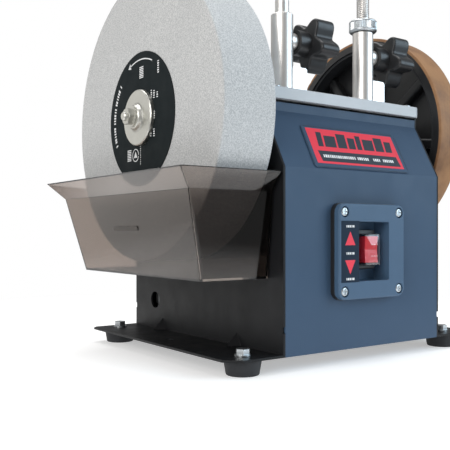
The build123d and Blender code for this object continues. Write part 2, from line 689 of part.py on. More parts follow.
def switch_module():
    """Snap-in switch: body behind the recess floor and a raised frame round the rocker."""
    half_x, half_z = rocker_half
    inner = block((rocker_x - half_x - 0.5, rocker_x + half_x + 0.5), (switch_frame_y - 1, recess_back_y + 3),
                  (rocker_z - half_z - 1.2, rocker_z + half_z + 1.2))
    frame = block((rocker_x - 12.2, rocker_x + 12.2), (switch_frame_y, recess_back_y),
                  (rocker_z - 17.0, rocker_z + 17.0))
    frame = fillet(frame.faces().sort_by(Axis.Y)[0].edges(), 1.2)
    body = block((rocker_x - 10.8, rocker_x + 10.8), (recess_back_y, recess_back_y + 22),
                 (rocker_z - 15.2, rocker_z + 15.2))
    for x, z in four((-6, 0, 6), (-9, 0, 9)):
        body += block((rocker_x + x - 0.4, rocker_x + x + 0.4), (recess_back_y + 20, recess_back_y + 31),
                      (rocker_z + z - 3.1, rocker_z + z + 3.1))
    pin = rod_x(rocker_pin_r + running_gap, rocker_x - half_x - 1.6, rocker_x + half_x + 1.6,
                rocker_pivot_y, rocker_z)
    add("switch_body", frame + body - inner - pin)


def rocker():
    """Three-position rocker, its face dipped toward the middle, on a moulded pin along X."""
    half_x, half_z = rocker_half
    middle_y = rocker_tip_y + 1.0
    heel_y = rocker_pivot_y - 1.0
    outline = [(rocker_tip_y, rocker_z - half_z), (middle_y, rocker_z), (rocker_tip_y, rocker_z + half_z),
               (heel_y, rocker_z + half_z - 0.8), (rocker_pivot_y + 2, rocker_z + 4),
               (rocker_pivot_y + 2, rocker_z - 4), (heel_y, rocker_z - half_z + 0.8)]
    cap = side_prism(outline, rocker_x - half_x, rocker_x + half_x)
    cap = fillet(cap.edges().filter_by(Axis.X).sort_by(Axis.Y)[:2], 0.8)
    cap += rod_x(rocker_pin_r, rocker_x - half_x - 1.3, rocker_x + half_x + 1.3, rocker_pivot_y, rocker_z)
    add("switch_rocker", cap)


def rocker_cover():
    """Clear soft box clipped over the rocker."""
    half_x, half_z = cover_half
    wall = 0.7
    y0, y1 = bezel_front_y + 0.6, switch_frame_y
    box = block((rocker_x - half_x, rocker_x + half_x), (y0, y1), (rocker_z - half_z, rocker_z + half_z))
    box = fillet(box.faces().sort_by(Axis.Y)[0].edges(), 1.0)
    box -= block((rocker_x - half_x + wall, rocker_x + half_x - wall), (y0 + wall, y1 + 1),
                 (rocker_z - half_z + wall, rocker_z + half_z - wall))
    add("rocker_cover", box)


def badge():
    """Thin plate on the leaning part of the front."""
    lean = math.radians(front_lean_deg)
    middle_y = housing_front_y + badge_rise * math.sin(lean)
    middle_z = front_fold_z + badge_rise * math.cos(lean)
    plate = fillet(Box(*badge_size).edges().filter_by(Axis.Y), 1.5)
    plate = Pos(0, -badge_size[1] / 2, 0) * plate
    add("front_badge", Pos(switch_x, middle_y, middle_z) * Rot(-front_lean_deg, 0, 0) * plate)


# ---- trough -------------------------------------------------------------------------------
def trough_section(level, inset):
    z, outer, front, back = level
    corner = trough_corner_r - inset
    shape = make_face(Polyline((outer + inset, front + inset), (trough_back - inset, front + inset),
                               (trough_back - inset, back - inset), (outer + inset, back - inset), close=True))
    return Pos(0, 0, z) * fillet(shape.vertices(), corner)


def trough():
    """Clear water trough with leaning walls and a flared lip, hung on two pins."""
    lower, middle, upper = trough_levels
    outer = loft([trough_section(lower, 0), trough_section(middle, 0)], ruled=True)
    outer += loft([trough_section(middle, 0), trough_section(upper, 0)], ruled=True)
    raised = (lower[0] + trough_wall, *lower[1:])
    above = (upper[0] + 1, *upper[1:])
    inner = loft([trough_section(raised, trough_wall), trough_section(middle, trough_wall)], ruled=True)
    inner += loft([trough_section(middle, trough_wall), trough_section(above, trough_wall)], ruled=True)
    body = outer - inner
    slot_r = trough_pin_r + body_gap
    through = (trough_back - 4, trough_back + 1)
    for y in trough_pin_y:
        body -= rod_x(slot_r, *through, y, trough_pin_z)
        body -= block(through, (y - slot_r, y + slot_r), (trough_pin_z - trough_lift, trough_pin_z))
        body -= rod_x(trough_pin_head_r + body_gap, *through, y, trough_pin_z - trough_lift)
    add("water_trough", body)


def trough_pins():
    """Headed studs riveted through the left wall."""
    pins = []
    head_end = trough_back - trough_wall - body_gap
    for y in trough_pin_y:
        pin = rod_x(trough_pin_r, head_end - 0.5, wall_left + sheet + 1, y, trough_pin_z)
        pin += rod_x(trough_pin_head_r, head_end - 2, head_end, y, trough_pin_z)
        pins.append(pin + rod_x(4, wall_left + sheet, wall_left + sheet + 1.5, y, trough_pin_z))
    add("trough_pins", group(pins))


# ---- tool rest ----------------------------------------------------------------------------
def tool_rest():
    """Bar over the stone on two legs that slide in the sleeves; the right leg carries a nut."""
    bar = rod_x(leg_r, stone_left - 14, leg_x[1] + 14, leg_y, rest_bar_z)
    bar = chamfer(bar.edges().filter_by(GeomType.CIRCLE), 1)
    legs = []
    for x in leg_x:
        leg = rod_z(leg_r, plate_z + 2, rest_bar_z, x, leg_y)
        legs.append(chamfer(leg.edges().sort_by(Axis.Z)[0], 1) - bar)
    add("rest_bar", bar)
    add("rest_legs", group(legs))
    nut = rod_z(13, nut_z, nut_z + 11, leg_x[1], leg_y)
    nut = chamfer(nut.edges().filter_by(GeomType.CIRCLE), 1)
    nut -= rod_z(leg_r + running_gap, nut_z - 1, nut_z + 12, leg_x[1], leg_y)
    add("height_nut", nut)


def star_outline():
    """Five round lobes and five valleys on one smooth closed curve; a lobe points down."""
    points = []
    for step in range(40):
        angle = 2 * math.pi * step / 40
        radius = 19.8 + 4.7 * math.cos(5 * (angle + math.pi / 2))
        points.append((radius * math.cos(angle), radius * math.sin(angle)))
    return make_face(Spline(*points, periodic=True))


def lock_knob(side, x):
    """Star knob on a threaded stud that presses on the leg in the sleeve."""
    y, z = leg_y, knob_z
    tip = x + leg_r + 0.2
    head = x + knob_reach
    blind = head + 12
    add(f"lock_stud_{side}", rod_x(stud_r, tip, blind, y, z))
    knob = extrude(Plane.YZ * star_outline(), knob_depth, dir=(1, 0, 0))
    knob = fillet(knob.faces().sort_by(Axis.X)[-1].edges(), 3.0)
    knob = fillet(knob.faces().sort_by(Axis.X)[0].edges(), 2.0)
    knob = Pos(head, y, z) * knob
    knob += rod_x(11, x + 13, head + 1, y, z)
    add(f"lock_knob_{side}", knob - rod_x(stud_r, x + 12, blind, y, z))


# ---- build everything ---------------------------------------------------------------------
left_side_plate()
right_side_plate()
front_cover()
rear_cover()
floor_pan()
top_plate()
add("cover_screws", group(rear_screws() + plate_screws()))
for side, x in zip(("left", "right"), leg_x):
    lock_knob(side, x)
add("support_sleeves", group([sleeve(x) for x in leg_x]))
feet()
handle()
shaft()
shaft_bushes()
shaft_collars()
stone()
stone_clamp()
honing_wheel()
honing_nut()
stator()
add("motor_bearings", group([end_bell("left"), end_bell("right")]))
motor_fixings()
rotor()
capacitor()
cord_gland()
switch_bezels()
switch_label()
switch_screws()
switch_module()
rocker()
rocker_cover()
badge()
trough()
trough_pins()
tool_rest()

os.makedirs("parts", exist_ok=True)
for name, shape in nodes.items():
    export_step(shape, f"parts/{name}.step")
print(len(nodes), "nodes")
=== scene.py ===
import json
import math

import bmesh
import bpy
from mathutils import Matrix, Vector

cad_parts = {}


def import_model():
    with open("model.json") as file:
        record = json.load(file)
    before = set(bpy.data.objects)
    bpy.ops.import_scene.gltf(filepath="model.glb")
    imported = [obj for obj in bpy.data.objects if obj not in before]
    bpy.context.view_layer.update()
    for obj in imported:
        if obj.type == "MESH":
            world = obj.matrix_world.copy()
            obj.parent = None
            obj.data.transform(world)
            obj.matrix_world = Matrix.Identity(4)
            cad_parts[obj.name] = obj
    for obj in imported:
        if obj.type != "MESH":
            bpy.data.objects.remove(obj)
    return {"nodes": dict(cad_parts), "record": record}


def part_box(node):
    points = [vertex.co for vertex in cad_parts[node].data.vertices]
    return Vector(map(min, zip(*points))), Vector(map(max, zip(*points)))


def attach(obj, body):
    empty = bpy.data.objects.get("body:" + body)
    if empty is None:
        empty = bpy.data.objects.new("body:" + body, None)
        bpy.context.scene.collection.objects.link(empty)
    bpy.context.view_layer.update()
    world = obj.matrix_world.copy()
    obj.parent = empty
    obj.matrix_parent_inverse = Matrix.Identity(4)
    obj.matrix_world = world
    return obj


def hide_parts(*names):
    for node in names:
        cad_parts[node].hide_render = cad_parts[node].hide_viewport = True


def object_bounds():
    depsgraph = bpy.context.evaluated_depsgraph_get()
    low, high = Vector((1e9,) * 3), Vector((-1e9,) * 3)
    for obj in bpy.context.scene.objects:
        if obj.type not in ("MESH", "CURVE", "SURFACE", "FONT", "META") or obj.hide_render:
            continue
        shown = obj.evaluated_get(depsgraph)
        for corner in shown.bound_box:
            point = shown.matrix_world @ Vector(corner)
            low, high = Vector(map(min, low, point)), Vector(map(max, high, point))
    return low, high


# Looks of the wet grinding sharpener. Metres. +Z up, the main shaft along X, the switch towards -Y.

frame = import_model()
cad_low, cad_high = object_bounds()
nodes = frame["nodes"]
MM = 0.001


# ---- places read from the frame -------------------------------------------------------------
def middle(node):
    low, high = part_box(node)
    return (low + high) / 2


stone_low, stone_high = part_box("grinding_stone")
shaft_point = middle("grinding_stone")
stone_radius = (stone_high.z - stone_low.z) / 2
LEAN = math.radians(28)    # the slope behind the badge leans back this far
LAYER = 0.08 * MM          # height of one layer of print


# ---- shader helpers ---------------------------------------------------------------------------
class Shader:
    """A node material with a Principled BSDF and short calls to build on it."""

    def __init__(self, name):
        self.material = bpy.data.materials.new(name)
        self.material.use_nodes = True
        self.tree = self.material.node_tree
        self.bsdf = self.tree.nodes["Principled BSDF"]
        self.output = self.tree.nodes["Material Output"]
        self.place = self.add("ShaderNodeTexCoord").outputs["Object"]

    def add(self, kind, **settings):
        node = self.tree.nodes.new(kind)
        for key, value in settings.items():
            setattr(node, key, value)
        return node

    def link(self, source, target):
        self.tree.links.new(source, target)

    def set(self, **values):
        for key, value in values.items():
            self.bsdf.inputs[key.replace("_", " ")].default_value = value
        return self

    def stretched(self, scale):
        mapping = self.add("ShaderNodeMapping")
        mapping.inputs["Scale"].default_value = scale
        self.link(self.place, mapping.inputs["Vector"])
        return mapping.outputs["Vector"]

    def noise(self, scale, detail=3.0, rough=0.5, vector=None):
        node = self.add("ShaderNodeTexNoise")
        node.inputs["Scale"].default_value = scale
        node.inputs["Detail"].default_value = detail
        node.inputs["Roughness"].default_value = rough
        self.link(vector or self.place, node.inputs["Vector"])
        return node.outputs["Fac"]

    def cells(self, scale):
        node = self.add("ShaderNodeTexVoronoi", feature="F1")
        node.inputs["Scale"].default_value = scale
        self.link(self.place, node.inputs["Vector"])
        return node.outputs["Distance"]

    def remap(self, value, low, high, to_low, to_high):
        node = self.add("ShaderNodeMapRange")
        self.link(value, node.inputs["Value"])
        for key, number in zip(("From Min", "From Max", "To Min", "To Max"), (low, high, to_low, to_high)):
            node.inputs[key].default_value = number
        return node.outputs["Result"]

    def math(self, operation, a, b):
        node = self.add("ShaderNodeMath", operation=operation)
        for socket, value in zip(node.inputs, (a, b)):
            if isinstance(value, (int, float)):
                socket.default_value = value
            else:
                self.link(value, socket)
        return node.outputs[0]

    def mix(self, factor, first, second):
        node = self.add("ShaderNodeMix", data_type="RGBA")
        self.link(factor, node.inputs["Factor"])
        for socket, value in ((node.inputs[6], first), (node.inputs[7], second)):
            if isinstance(value, tuple):
                socket.default_value = (*value, 1.0)
            else:
                self.link(value, socket)
        return node.outputs[2]

    def bevelled(self, radius):
        node = self.add("ShaderNodeBevel", samples=4)
        node.inputs["Radius"].default_value = radius
        return node.outputs["Normal"]

    def edges(self, normal, low, high):
        """1 where the rounded normal leaves the true one, which is along the edges."""
        geometry = self.add("ShaderNodeNewGeometry")
        dot = self.add("ShaderNodeVectorMath", operation="DOT_PRODUCT")
        self.link(normal, dot.inputs[0])
        self.link(geometry.outputs["Normal"], dot.inputs[1])
        return self.remap(dot.outputs["Value"], low, high, 1.0, 0.0)

    def bump(self, height, distance, strength=1.0, normal=None):
        node = self.add("ShaderNodeBump")
        node.inputs["Distance"].default_value = distance
        node.inputs["Strength"].default_value = strength
        self.link(height, node.inputs["Height"])
        if normal is not None:
            self.link(normal, node.inputs["Normal"])
        return node.outputs["Normal"]

    def finish(self, color=None, roughness=None, normal=None):
        if color is not None:
            self.link(color, self.bsdf.inputs["Base Color"])
        if roughness is not None:
            self.link(roughness, self.bsdf.inputs["Roughness"])
        if normal is not None:
            self.link(normal, self.bsdf.inputs["Normal"])
        return self.material


def scaled(color, factor):
    return tuple(min(1.0, c * factor) for c in color)


# ---- materials ----------------------------------------------------------------------------------
def painted(name, color, roughness, grain=0.05, edge=0.7 * MM, edge_wear_and_glint=0.35, specular=0.2):
    """Sheet metal paint: faint mottling, powder grain, soft edges rubbed lighter in patches, which also
    paints a thin highlight along them.
    """
    s = Shader(name)
    s.set(Metallic=0.0, Specular_IOR_Level=specular)
    normal = s.bevelled(edge)
    mottled = s.mix(s.noise(18, 4), scaled(color, 0.9), scaled(color, 1.12))
    wear_and_glint_patches = s.remap(s.noise(420, 5, 0.7), 0.45, 0.75, 0.0, edge_wear_and_glint)
    # lighter edges: rubbed paint that also stands as a painted edge highlight
    worn = s.math("MULTIPLY", s.edges(normal, 0.72, 0.96), wear_and_glint_patches)
    base = s.mix(worn, mottled, scaled(color, 3.0))
    rough = s.remap(s.noise(60, 5, 0.6), 0.3, 0.7, roughness - 0.06, roughness + 0.07)
    grains = s.noise(2600, 2, 0.5)
    return s.finish(base, rough, s.bump(grains, grain * MM, 0.5, normal))


def plastic(name, color, roughness, grain=0.03, edge=0.5 * MM, specular=0.5):
    """Moulded plastic: fine spark texture, nearly even colour, small soft edges."""
    s = Shader(name)
    s.set(Specular_IOR_Level=specular)
    normal = s.bevelled(edge)
    base = s.mix(s.noise(35, 3), scaled(color, 0.92), scaled(color, 1.1))
    rough = s.remap(s.noise(90, 4), 0.3, 0.7, roughness - 0.05, roughness + 0.06)
    return s.finish(base, rough, s.bump(s.noise(3200, 2), grain * MM, 0.4, normal))


def metal(name, color, roughness, scratches=(400, 400, 40), depth=0.012, edge=0.3 * MM):
    """Bare or plated metal with fine directional scratches and uneven sheen."""
    s = Shader(name)
    s.set(Metallic=1.0)
    normal = s.bevelled(edge)
    streaks = s.noise(8, 4, 0.6, s.stretched(scratches))
    base = s.mix(s.noise(45, 4), scaled(color, 0.9), scaled(color, 1.06))
    rough = s.remap(streaks, 0.3, 0.7, roughness - 0.05, roughness + 0.08)
    return s.finish(base, rough, s.bump(streaks, depth * MM, 0.6, normal))


def turned(name, color, roughness, centre, pitch=0.5 * MM):
    """Lathe-turned steel: fine rings about the shaft."""
    s = Shader(name)
    s.set(Metallic=1.0)
    normal = s.bevelled(0.25 * MM)
    moved = s.add("ShaderNodeMapping")
    moved.inputs["Location"].default_value = (0.0, -centre.y, -centre.z)
    moved.inputs["Scale"].default_value = (0.0, 1.0, 1.0)
    s.link(s.place, moved.inputs["Vector"])
    length = s.add("ShaderNodeVectorMath", operation="LENGTH")
    s.link(moved.outputs["Vector"], length.inputs[0])
    radius = length.outputs["Value"]
    split = s.add("ShaderNodeSeparateXYZ")
    s.link(s.place, split.inputs["Vector"])
    along = s.math("ADD", radius, split.outputs["X"])
    rings = s.math("SINE", s.math("MULTIPLY", along, 2 * math.pi / pitch), 0.0)
    broken = s.math("MULTIPLY", rings, s.remap(s.noise(900, 2), 0.3, 0.7, 0.4, 1.0))
    base = s.mix(s.noise(60, 4), scaled(color, 0.88), scaled(color, 1.08))
    rough = s.remap(s.noise(500, 3), 0.3, 0.7, roughness - 0.05, roughness + 0.08)
    return s.finish(base, rough, s.bump(broken, 0.003 * MM, 0.4, normal))


def grit_stone():
    """Bonded grit: dark and bright grains over faint clouds."""
    s = Shader("grit_stone")
    s.set(Specular_IOR_Level=0.3)
    clouds = s.mix(s.noise(22, 5), (0.62, 0.625, 0.625), (0.72, 0.72, 0.715))
    grains = s.noise(1000, 3, 0.7)
    fine = s.remap(grains, 0.42, 0.58, 0.0, 1.0)
    speckled = s.mix(fine, (0.46, 0.47, 0.475), clouds)
    sparks = s.remap(s.cells(620), 0.0, 0.2, 0.45, 0.0)
    bright = s.mix(sparks, speckled, (0.88, 0.89, 0.89))
    rough = s.remap(fine, 0, 1, 0.95, 0.78)
    normal = s.bump(grains, 0.12 * MM, 0.6)
    return s.finish(bright, rough, normal)


def clear_plastic(name, tint, roughness, shadow, specular=0.5):
    """Clear moulded plastic. Shadow and diffuse rays pass straight through, dimmed by the shadow colour."""
    s = Shader(name)
    s.set(Transmission_Weight=1.0, IOR=1.49, Specular_IOR_Level=specular, Base_Color=(*tint, 1.0))
    smears = s.remap(s.noise(30, 4), 0.35, 0.75, roughness, roughness + 0.05)
    s.link(smears, s.bsdf.inputs["Roughness"])
    waves = s.bump(s.noise(14, 2), 0.25 * MM, 0.25)
    s.link(waves, s.bsdf.inputs["Normal"])
    clear = s.add("ShaderNodeBsdfTransparent")
    clear.inputs["Color"].default_value = (*shadow, 1.0)
    rays = s.add("ShaderNodeLightPath")
    mixed = s.add("ShaderNodeMixShader")
    passing = s.math("MAXIMUM", rays.outputs["Is Shadow Ray"], rays.outputs["Is Diffuse Ray"])
    s.link(passing, mixed.inputs["Fac"])
    s.link(s.bsdf.outputs["BSDF"], mixed.inputs[1])
    s.link(clear.outputs["BSDF"], mixed.inputs[2])
    s.link(mixed.outputs["Shader"], s.output.inputs["Surface"])
    return s.material


def leather():
    """Honing leather: brown, pebbled, with darker patches where it has taken paste."""
    s = Shader("honing_leather")
    s.set(Specular_IOR_Level=0.35)
    patches = s.remap(s.noise(28, 6, 0.6), 0.4, 0.65, 0.0, 1.0)
    base = s.mix(patches, (0.36, 0.19, 0.09), (0.20, 0.10, 0.05))
    pebbles = s.cells(700)
    return s.finish(base, s.remap(patches, 0, 1, 0.62, 0.48), s.bump(pebbles, 0.15 * MM, 0.5))


def rubber():
    """Matt black rubber with a fine grain."""
    s = Shader("black_rubber")
    s.set(Specular_IOR_Level=0.35)
    base = s.mix(s.noise(70, 5), (0.012, 0.013, 0.015), (0.03, 0.032, 0.036))
    normal = s.bump(s.noise(1800, 3), 0.05 * MM, 0.6, s.bevelled(0.6 * MM))
    return s.finish(base, s.remap(s.noise(120, 3), 0.3, 0.7, 0.55, 0.72), normal)


def copper():
    """Varnished copper windings, stranded across the coil."""
    s = Shader("copper_wire")
    s.set(Metallic=0.6)
    strands = s.noise(30, 2, 0.5, s.stretched((10, 60, 60)))
    base = s.mix(strands, (0.35, 0.11, 0.04), (0.62, 0.25, 0.10))
    return s.finish(base, s.remap(strands, 0.3, 0.7, 0.3, 0.5), s.bump(strands, 0.3 * MM, 0.8))


def printed(name, color, roughness, specular=0.3):
    """Ink or film on a label: even, with faint speckle and dust."""
    s = Shader(name)
    s.set(Specular_IOR_Level=specular)
    base = s.mix(s.noise(400, 5, 0.7), scaled(color, 0.93), scaled(color, 1.08))
    rough = s.remap(s.noise(80, 4), 0.3, 0.7, roughness - 0.05, roughness + 0.08)
    return s.finish(base, rough, s.bump(s.noise(900, 2), 0.01 * MM, 0.4))


BLACK = (0.016, 0.0165, 0.018)
# slate paint: dark blue-grey made bluer, with the blue sheen of the front light painted into its colour
SLATE_WITH_BLUE_SHEEN = (0.044, 0.080, 0.136)
materials = {
    "black_paint": painted("black_paint", (0.010, 0.0105, 0.012), 0.42),
    "slate_paint": painted("slate_paint", SLATE_WITH_BLUE_SHEEN, 0.4, edge_wear_and_glint=0.2),
    "cast_plate": painted("cast_plate", (0.50, 0.52, 0.54), 0.34, grain=0.03, edge_wear_and_glint=0.0, specular=0.5),
    "polished_steel": metal("polished_steel", (0.88, 0.85, 0.82), 0.38, (30, 30, 500)),
    "zinc_steel": metal("zinc_steel", (0.58, 0.61, 0.63), 0.32),
    "turned_steel": turned("turned_steel", (0.66, 0.655, 0.61), 0.36, shaft_point),
    "bronze": metal("bronze", (0.55, 0.36, 0.17), 0.35),
    "bearing_steel": metal("bearing_steel", (0.55, 0.55, 0.57), 0.25),
    "grit_stone": grit_stone(),
    "dark_label": printed("dark_label", (0.010, 0.015, 0.017), 0.6, specular=0.1),
    "red_plate": printed("red_plate", (0.78, 0.055, 0.085), 0.35),
    "smoke_plastic": clear_plastic("smoke_plastic", (0.45, 0.385, 0.345), 0.05, (0.28, 0.27, 0.27), 0.22),
    "clear_plastic": clear_plastic("clear_plastic", (0.97, 0.97, 0.98), 0.03, (0.95, 0.95, 0.95)),
    # slate plastic: dark plastic whose blue tint is a painted sheen of the front light
    "slate_plastic": plastic("slate_plastic", (0.060, 0.112, 0.185), 0.42, specular=0.3),
    "black_plastic": plastic("black_plastic", BLACK, 0.36),
    "red_plastic": plastic("red_plastic", (0.62, 0.012, 0.02), 0.28, grain=0.01),
    "honing_leather": leather(),
    "black_rubber": rubber(),
    "lamination": metal("lamination", (0.25, 0.25, 0.27), 0.5, (2500, 20, 20), 0.05),
    "copper_wire": copper(),
    "can_aluminium": metal("can_aluminium", (0.7, 0.71, 0.72), 0.32, (40, 40, 300)),
}
white_ink = printed("white_ink", (0.82, 0.83, 0.84), 0.45)
red_ink = printed("red_ink", (0.78, 0.045, 0.075), 0.42)
dark_ink = printed("dark_ink", (0.026, 0.036, 0.050), 0.42)
navy_ink = printed("navy_ink", (0.010, 0.022, 0.042), 0.5, specular=0.15)

for subpart in frame["record"]["subparts"]:
    node = nodes[subpart["node"]]
    node.data.materials.clear()
    node.data.materials.append(materials[subpart["material_slot"]])


# ---- mesh helpers -------------------------------------------------------------------------------
def piece(name, points, faces, material, body, replaced=(), smooth_deg=30):
    """A mesh piece in the row frame that rides on a body."""
    mesh = bpy.data.meshes.new(name)
    mesh.from_pydata([tuple(p) for p in points], [], faces)
    mesh.validate()
    work = bmesh.new()
    work.from_mesh(mesh)
    bmesh.ops.recalc_face_normals(work, faces=work.faces)
    work.to_mesh(mesh)
    work.free()
    mesh.materials.append(material)
    mesh.shade_smooth()
    mesh.set_sharp_from_angle(angle=math.radians(smooth_deg))
    item = bpy.data.objects.new(name, mesh)
    bpy.context.scene.collection.objects.link(item)
    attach(item, body)
    if replaced:
        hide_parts(*replaced)
    return item


def rings_joined(rings, closed=False):
    """Points and quads of a skin over rings that hold the same number of points."""
    count = len(rings[0])
    points = [p for ring in rings for p in ring]
    faces = []
    spans = len(rings) if closed else len(rings) - 1
    for i in range(spans):
        a, b = i * count, ((i + 1) % len(rings)) * count
        for j in range(count):
            k = (j + 1) % count
            faces.append((a + j, a + k, b + k, b + j))
    return points, faces


def lathe_x(profile, centre, segments):
    """Closed skin turned about the X axis through centre; the profile holds (x, radius)."""
    rings = []
    for x, radius in profile:
        ring = []
        for step in range(segments):
            angle = 2 * math.pi * step / segments
            ring.append((x, centre.y + radius * math.sin(angle), centre.z + radius * math.cos(angle)))
        rings.append(ring)
    return rings_joined(rings, closed=True)


def rounded(corner, start, end, steps=4):
    """Points of a rounded corner between two points near it."""
    corner, start, end = Vector(corner), Vector(start), Vector(end)
    found = []
    for i in range(steps + 1):
        t = i / steps
        found.append(tuple((1 - t) ** 2 * start + 2 * t * (1 - t) * corner + t * t * end))
    return found


# ---- stone ----------------------------------------------------------------------------------------
def stone():
    """Stone with softly worn rims and a faintly hollow running face, bored for the shaft."""
    bore = 6.0 * MM
    rim = 1.6 * MM
    flat_radius = 30.0 * MM
    hollow = 0.1 * MM
    left, right = stone_low.x, stone_high.x
    profile = [(left, bore), (left, flat_radius)]
    profile += rounded((left, stone_radius), (left, stone_radius - rim), (left + rim, stone_radius))
    steps = 12
    for i in range(1, steps):
        x = left + rim + (right - left - 2 * rim) * i / steps
        profile.append((x, stone_radius - hollow / 2 * (1 - math.cos(2 * math.pi * i / steps))))
    profile += rounded((right, stone_radius), (right - rim, stone_radius), (right, stone_radius - rim))
    profile += [(right, flat_radius), (right, bore)]
    points, faces = lathe_x(profile, shaft_point, segments=192)
    piece("stone_wheel", points, faces, materials["grit_stone"], "spindle", ["grinding_stone"])


stone()


# ---- flat marks -----------------------------------------------------------------------------------
def marks(name, outlines, origin, right, up, material, body, thickness=LAYER):
    """Thin prints on a plane, as far above it as below. Outlines hold (right, up) in millimetres."""
    origin, right, up = Vector(origin), Vector(right), Vector(up)
    out = right.cross(up)
    points, faces = [], []
    for outline in outlines:
        start, count = len(points), len(outline)
        for height in (-thickness, thickness):
            points += [origin + right * (u * MM) + up * (v * MM) + out * height for u, v in outline]
        faces.append(tuple(range(start + count, start + 2 * count)))
        faces.append(tuple(reversed(range(start, start + count))))
        for i in range(count):
            j = (i + 1) % count
            faces.append((start + i, start + j, start + count + j, start + count + i))
    return piece(name, points, faces, material, body)


def bar(u, v, width, height, slant=0.0):
    """Rectangle centred on (u, v); slant moves its top to the right."""
    x, z = width / 2, height / 2
    return [(u - x, v - z), (u + x, v - z), (u + x + slant, v + z), (u - x + slant, v + z)]


def polar(radius, degrees):
    """(right, up) of a point on a circle, anticlockwise from the right."""
    return radius * math.cos(math.radians(degrees)), radius * math.sin(math.radians(degrees))


def arc_band(radius, width, start, end, steps=12):
    """Curved stripe between two angles."""
    turns = [start + (end - start) * i / steps for i in range(steps + 1)]
    outer = [polar(radius + width / 2, t) for t in turns]
    inner = [polar(radius - width / 2, t) for t in reversed(turns)]
    return outer + inner


def arc_row(radius, height, start, end, pitch):
    """Row of short dashes of uneven length that follows a circle."""
    dashes = []
    step = 0
    angle = start
    while angle < end:
        length = pitch * (0.45 + 0.3 * ((7 * step) % 4) / 3)
        dashes.append(arc_band(radius, height, angle, angle + length, 2))
        angle += pitch * (1.0 if step % 6 else 1.7)
        step += 1
    return dashes


def row(u, v, count, pitch, height):
    """Straight row of short dashes of uneven length."""
    return [bar(u + i * pitch, v, pitch * (0.5 + 0.12 * ((5 * i) % 3)), height) for i in range(count)]


def column(u, top, count, width):
    """Short dashes of uneven height stacked downwards."""
    return [bar(u, top - 1.9 * i, width, 0.8 + 0.25 * ((5 * i) % 3)) for i in range(count)]


# ---- prints on the stone label --------------------------------------------------------------------
def label_prints():
    """Invented dashes, hatches, a ring with a triangle and an arrow for the turning direction."""
    origin = (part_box("stone_label")[0].x, shaft_point.y, shaft_point.z)
    shapes = arc_row(radius=48.5, height=3.4, start=137, end=205, pitch=3.1)
    # columns of dashes: right, top, how many, how wide
    for u, top, count, width in ((31.0, 44.0, 6, 2.6), (19.5, 21.0, 4, 2.0), (24.0, 20.0, 4, 2.4),
                                 (29.5, 18.0, 3, 2.0), (24.0, 2.5, 4, 2.8), (18.5, -12.0, 4, 2.2),
                                 (24.0, -12.5, 4, 2.4), (0.5, -25.0, 9, 0.9)):
        shapes += column(u, top, count, width)
    hatch_pitch, hatch_width, hatch_line = 1.5, 7.0, 0.9
    for u, v in ((2.0, 39.5), (-20.0, -31.5)):
        shapes += [bar(u, v + hatch_pitch * i, hatch_width, hatch_line) for i in range(-3, 4)]
    u, v = -8.5, -32.0    # middle of the ring
    shapes.append([(u + x, v + z) for x, z in arc_band(5.4, 0.8, 0, 350, 30)])
    shapes.append([(u - 3.2, v - 2.2), (u + 3.2, v - 2.2), (u, v + 3.4)])
    arrow_radius = 51.0
    head_width = 2.7
    shapes.append(arc_band(arrow_radius, 1.0, 66, 112))
    shapes.append([polar(arrow_radius, 115.5), polar(arrow_radius + head_width, 110.0),
                   polar(arrow_radius - head_width, 110.0)])
    marks("label_prints", shapes, origin, (0, -1, 0), (0, 0, 1), white_ink, "spindle")


label_prints()


# ---- threads --------------------------------------------------------------------------------------
def threaded(start, along, side, length, radius, pitch, depth, segments=28):
    """Helical thread as rings of points about a line, closed at both ends."""
    start, along, side = Vector(start), Vector(along), Vector(side)
    other = along.cross(side)
    rings_per_turn = 6
    rows = round(length / pitch * rings_per_turn)
    rings = []
    for i in range(rows + 1):
        place = length * i / rows
        ends = min(1.0, place / pitch, (length - place) / pitch)
        ring = []
        for step in range(segments):
            turn = step / segments
            wave = abs(((place / pitch - turn) % 1.0) * 2 - 1)
            reach = radius - depth * (1 - wave * ends)
            angle = 2 * math.pi * turn
            outwards = side * math.cos(angle) + other * math.sin(angle)
            ring.append(start + along * place + outwards * reach)
        rings.append(ring)
    points, faces = rings_joined(rings)
    faces.append(tuple(reversed(range(segments))))
    faces.append(tuple(range(len(points) - segments, len(points))))
    return points, faces


def shaft_thread():
    """Thread outside the nut, over the plain end of the CAD shaft, up to its chamfer."""
    shaft_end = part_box("main_shaft")[0].x
    nut_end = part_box("stone_nut")[0].x
    start = (nut_end, shaft_point.y, shaft_point.z)
    chamfer = 0.9 * MM
    length = nut_end - shaft_end - chamfer
    points, faces = threaded(start, (-1, 0, 0), (0, 0, 1), length, radius=4.25 * MM, pitch=1.25 * MM,
                             depth=0.5 * MM)
    piece("shaft_thread", points, faces, materials["zinc_steel"], "spindle")


shaft_thread()


